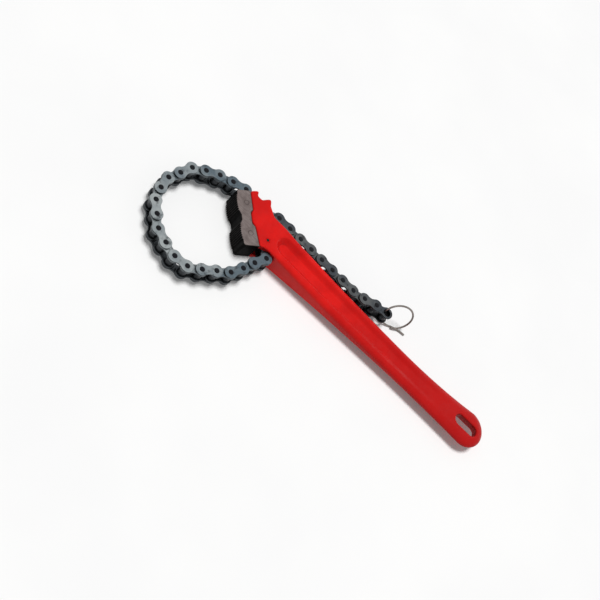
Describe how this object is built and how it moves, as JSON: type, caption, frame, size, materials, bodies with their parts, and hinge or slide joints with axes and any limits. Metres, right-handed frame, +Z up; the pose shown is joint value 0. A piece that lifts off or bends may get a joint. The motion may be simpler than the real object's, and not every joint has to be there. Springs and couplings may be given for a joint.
{
  "type": "chain wrench",
  "caption": "Pipe wrench whose roller chain hooks round the pipe into a forked head with a toothed double jaw, on a forged I-beam handle with a hang slot.",
  "frame": {"origin": "on the flat underside of the head, on the handle's centre line", "axes": "+X along the handle away from the jaw, +Y to the side of the head that hooks the chain, +Z up with the wrench lying on its side"},
  "size_m": [0.4458, 0.1658, 0.0352],
  "materials": {
    "red_enamel": "smooth gloss red enamel over a forging",
    "jaw_steel": "hardened jaw steel, blackened, sides ground bare",
    "chain_steel": "oiled blue-grey plate steel",
    "pin_steel": "dark hardened pin steel",
    "wire_steel": "plain drawn wire"
  },
  "bodies": {
    "handle": {"handle": "red_enamel", "jaw": "jaw_steel", "jaw_pin_upper": "pin_steel", "jaw_pin_lower": "pin_steel", "anchor_pin": "pin_steel"},
    "link_01": {"link_01": "chain_steel"},
    "link_02": {"link_02": "chain_steel"},
    "link_03": {"link_03": "chain_steel"},
    "link_04": {"link_04": "chain_steel"},
    "link_05": {"link_05": "chain_steel"},
    "link_06": {"link_06": "chain_steel"},
    "link_07": {"link_07": "chain_steel"},
    "link_08": {"link_08": "chain_steel"},
    "link_09": {"link_09": "chain_steel"},
    "link_10": {"link_10": "chain_steel"},
    "link_11": {"link_11": "chain_steel"},
    "link_12": {"link_12": "chain_steel"},
    "link_13": {"link_13": "chain_steel"},
    "link_14": {"link_14": "chain_steel"},
    "link_15": {"link_15": "chain_steel"},
    "link_16": {"link_16": "chain_steel"},
    "link_17": {"link_17": "chain_steel"},
    "link_18": {"link_18": "chain_steel"},
    "link_19": {"link_19": "chain_steel"},
    "link_20": {"link_20": "chain_steel"},
    "link_21": {"link_21": "chain_steel"},
    "link_22": {"link_22": "chain_steel"},
    "link_23": {"link_23": "chain_steel"},
    "link_24": {"link_24": "chain_steel"},
    "link_25": {"link_25": "chain_steel"},
    "link_26": {"link_26": "chain_steel"},
    "link_27": {"link_27": "chain_steel"},
    "link_28": {"link_28": "chain_steel"},
    "link_29": {"link_29": "chain_steel"},
    "link_30": {"link_30": "chain_steel"},
    "link_31": {"link_31": "chain_steel"},
    "link_32": {"link_32": "chain_steel"},
    "link_33": {"link_33": "chain_steel"},
    "pull_ring": {"pull_ring": "wire_steel"}
  },
  "joints": [
    {"name": "pivot_00", "type": "hinge", "parent": "handle", "child": "link_01", "pos_m": [0.0083, -0.0119, 0.0135], "axis": [0, 0, 1], "range_deg": [-6.7, 0]},
    {"name": "pivot_01", "type": "hinge", "parent": "link_01", "child": "link_02", "pos_m": [0.01981, -0.02701, 0.0135], "axis": [0, 0, 1], "range_deg": [0, 18]},
    {"name": "pivot_02", "type": "hinge", "parent": "link_02", "child": "link_03", "pos_m": [0.01361, -0.04163, 0.0135], "axis": [0, 0, 1], "range_deg": [-12.7, 0]},
    {"name": "pivot_03", "type": "hinge", "parent": "link_03", "child": "link_04", "pos_m": [0.00844, -0.05664, 0.0135], "axis": [0, 0, 1], "range_deg": [-8, 0]},
    {"name": "pivot_04", "type": "hinge", "parent": "link_04", "child": "link_05", "pos_m": [0.00173, -0.07103, 0.0135], "axis": [0, 0, 1], "range_deg": [0, 18]},
    {"name": "pivot_05", "type": "hinge", "parent": "link_05", "child": "link_06", "pos_m": [-0.00988, -0.08185, 0.0135], "axis": [0, 0, 1], "range_deg": [-10.7, 0]},
    {"name": "pivot_06", "type": "hinge", "parent": "link_06", "child": "link_07", "pos_m": [-0.02149, -0.09268, 0.0135], "axis": [0, 0, 1], "range_deg": [-7.6, 0]},
    {"name": "pivot_07", "type": "hinge", "parent": "link_07", "child": "link_08", "pos_m": [-0.03433, -0.10201, 0.0135], "axis": [0, 0, 1], "range_deg": [0, 18]},
    {"name": "pivot_08", "type": "hinge", "parent": "link_08", "child": "link_09", "pos_m": [-0.05012, -0.10367, 0.0135], "axis": [0, 0, 1], "range_deg": [-10.1, 0]},
    {"name": "pivot_09", "type": "hinge", "parent": "link_09", "child": "link_10", "pos_m": [-0.06538, -0.09929, 0.0135], "axis": [0, 0, 1], "range_deg": [-5.4, 0]},
    {"name": "seat_roller", "type": "hinge", "parent": "handle", "child": "link_21", "pos_m": [-0.02835, 0.01771, 0.0135], "axis": [0, 0, 1], "range_deg": [-8.2, 0]},
    {"name": "pivot_20", "type": "hinge", "parent": "link_21", "child": "link_20", "pos_m": [-0.0439, 0.02088, 0.0135], "axis": [0, 0, 1], "range_deg": [0, 18]},
    {"name": "pivot_19", "type": "hinge", "parent": "link_20", "child": "link_19", "pos_m": [-0.059, 0.01597, 0.0135], "axis": [0, 0, 1], "range_deg": [-10.8, 0]},
    {"name": "pivot_18", "type": "hinge", "parent": "link_19", "child": "link_18", "pos_m": [-0.07372, 0.01002, 0.0135], "axis": [0, 0, 1], "range_deg": [-8.5, 0]},
    {"name": "pivot_17", "type": "hinge", "parent": "link_18", "child": "link_17", "pos_m": [-0.08704, 0.00138, 0.0135], "axis": [0, 0, 1], "range_deg": [0, 18]},
    {"name": "pivot_16", "type": "hinge", "parent": "link_17", "child": "link_16", "pos_m": [-0.0992, -0.00883, 0.0135], "axis": [0, 0, 1], "range_deg": [-10.1, 0]},
    {"name": "pivot_15", "type": "hinge", "parent": "link_16", "child": "link_15", "pos_m": [-0.10384, -0.02401, 0.0135], "axis": [0, 0, 1], "range_deg": [-7.1, 0]},
    {"name": "pivot_14", "type": "hinge", "parent": "link_15", "child": "link_14", "pos_m": [-0.10874, -0.03911, 0.0135], "axis": [0, 0, 1], "range_deg": [0, 18]},
    {"name": "pivot_13", "type": "hinge", "parent": "link_14", "child": "link_13", "pos_m": [-0.10681, -0.05486, 0.0135], "axis": [0, 0, 1], "range_deg": [-7.9, 0]},
    {"name": "pivot_12", "type": "hinge", "parent": "link_13", "child": "link_12", "pos_m": [-0.10164, -0.06987, 0.0135], "axis": [0, 0, 1], "range_deg": [-6.2, 0]},
    {"name": "pivot_11", "type": "hinge", "parent": "link_12", "child": "link_11", "pos_m": [-0.09102, -0.08167, 0.0135], "axis": [0, 0, 1], "range_deg": [-3.2, 0]},
    {"name": "pivot_21", "type": "hinge", "parent": "handle", "child": "link_22", "pos_m": [-0.02835, 0.01771, 0.0135], "axis": [0, 0, 1], "range_deg": [0, 30]},
    {"name": "pivot_22", "type": "hinge", "parent": "link_22", "child": "link_23", "pos_m": [-0.01256, 0.01937, 0.0135], "axis": [0, 0, 1], "range_deg": [0, 18]},
    {"name": "pivot_23", "type": "hinge", "parent": "link_23", "child": "link_24", "pos_m": [0.00254, 0.02428, 0.0135], "axis": [0, 0, 1], "range_deg": [0, 18]},
    {"name": "pivot_24", "type": "hinge", "parent": "link_24", "child": "link_25", "pos_m": [0.01841, 0.02428, 0.0135], "axis": [0, 0, 1], "range_deg": [0, 18]},
    {"name": "pivot_25", "type": "hinge", "parent": "link_25", "child": "link_26", "pos_m": [0.03429, 0.02428, 0.0135], "axis": [0, 0, 1], "range_deg": [0, 18]},
    {"name": "pivot_26", "type": "hinge", "parent": "link_26", "child": "link_27", "pos_m": [0.05016, 0.02428, 0.0135], "axis": [0, 0, 1], "range_deg": [0, 18]},
    {"name": "pivot_27", "type": "hinge", "parent": "link_27", "child": "link_28", "pos_m": [0.06604, 0.02428, 0.0135], "axis": [0, 0, 1], "range_deg": [0, 18]},
    {"name": "pivot_28", "type": "hinge", "parent": "link_28", "child": "link_29", "pos_m": [0.08191, 0.02428, 0.0135], "axis": [0, 0, 1], "range_deg": [0, 18]},
    {"name": "pivot_29", "type": "hinge", "parent": "link_29", "child": "link_30", "pos_m": [0.09779, 0.02428, 0.0135], "axis": [0, 0, 1], "range_deg": [0, 18]},
    {"name": "pivot_30", "type": "hinge", "parent": "link_30", "child": "link_31", "pos_m": [0.11366, 0.02428, 0.0135], "axis": [0, 0, 1], "range_deg": [-2, 18]},
    {"name": "pivot_31", "type": "hinge", "parent": "link_31", "child": "link_32", "pos_m": [0.12924, 0.0273, 0.0135], "axis": [0, 0, 1], "range_deg": [-6, 18]},
    {"name": "pivot_32", "type": "hinge", "parent": "link_32", "child": "link_33", "pos_m": [0.14425, 0.03247, 0.0135], "axis": [0, 0, 1], "range_deg": [-6, 18]},
    {"name": "ring_swivel", "type": "hinge", "parent": "link_33", "child": "pull_ring", "pos_m": [0.15952, 0.03685, 0.0135], "axis": [0, 0, 1], "range_deg": [-30, 90]}
  ],
  "couplings": [
    {"joint": "pivot_00", "follows": "pivot_01", "ratio": -0.37039},
    {"joint": "pivot_02", "follows": "pivot_01", "ratio": -0.7029},
    {"joint": "pivot_03", "follows": "pivot_04", "ratio": -0.44432},
    {"joint": "pivot_05", "follows": "pivot_04", "ratio": -0.591},
    {"joint": "pivot_06", "follows": "pivot_07", "ratio": -0.41713},
    {"joint": "pivot_08", "follows": "pivot_07", "ratio": -0.55575},
    {"joint": "pivot_09", "follows": "pivot_07", "ratio": -0.29786},
    {"joint": "seat_roller", "follows": "pivot_20", "ratio": -0.45311},
    {"joint": "pivot_19", "follows": "pivot_20", "ratio": -0.59563},
    {"joint": "pivot_18", "follows": "pivot_17", "ratio": -0.46836},
    {"joint": "pivot_16", "follows": "pivot_17", "ratio": -0.55964},
    {"joint": "pivot_15", "follows": "pivot_14", "ratio": -0.39245},
    {"joint": "pivot_13", "follows": "pivot_14", "ratio": -0.43468},
    {"joint": "pivot_12", "follows": "pivot_14", "ratio": -0.34366},
    {"joint": "pivot_11", "follows": "pivot_14", "ratio": -0.17262}
  ]
}
